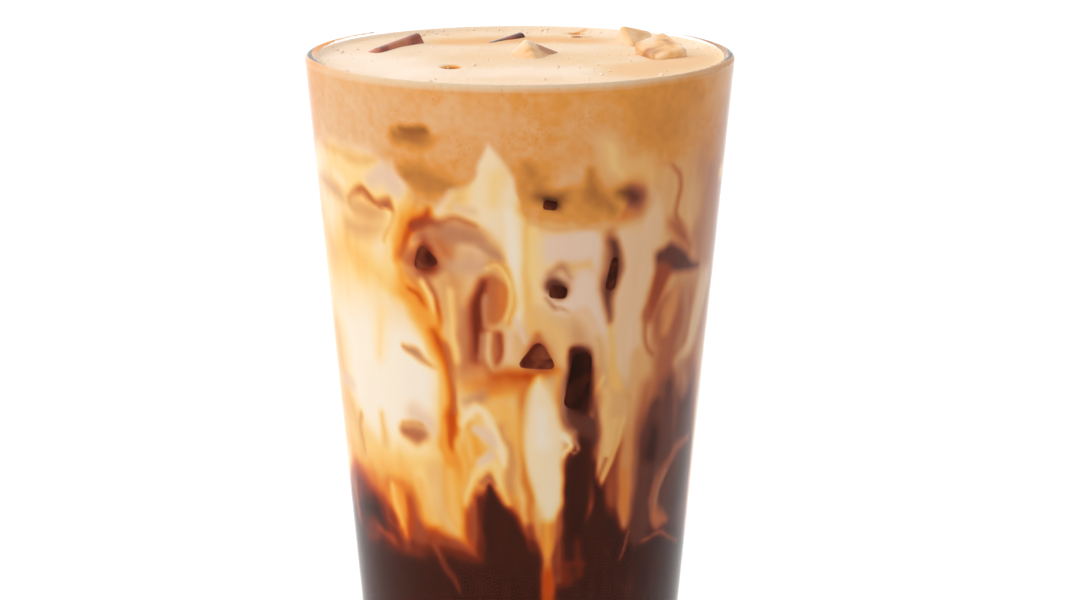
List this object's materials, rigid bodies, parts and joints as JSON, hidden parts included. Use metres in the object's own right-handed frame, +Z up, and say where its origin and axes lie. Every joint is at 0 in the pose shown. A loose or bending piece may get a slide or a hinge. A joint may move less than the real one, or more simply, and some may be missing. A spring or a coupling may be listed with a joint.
{
  "type": "iced shaken espresso in a glass",
  "caption": "Iced shaken espresso filling a conical clear pint glass: dark coffee at the foot, milk sinking into it in tongues, tan foam on top, with ice breaking the surface.",
  "frame": {"origin": "centre of the glass's foot, on the surface it stands on", "axes": "+Z up along the glass's axis; the shown side faces -Y"},
  "size_m": [0.0884, 0.0884, 0.1527],
  "materials": {
    "glass": "clear polished soda-lime glass",
    "espresso": null,
    "milk": null,
    "coffee_foam": null,
    "ice": "wet ice tinted by the coffee around it"
  },
  "bodies": {
    "root": {"glass": "glass", "espresso": "espresso", "milk": "milk", "coffee_foam": "coffee_foam", "ice_left": "ice", "ice_back": "ice", "ice_centre": "ice", "ice_ridge": "ice", "ice_rear": "ice", "ice_right": "ice"}
  },
  "joints": []
}
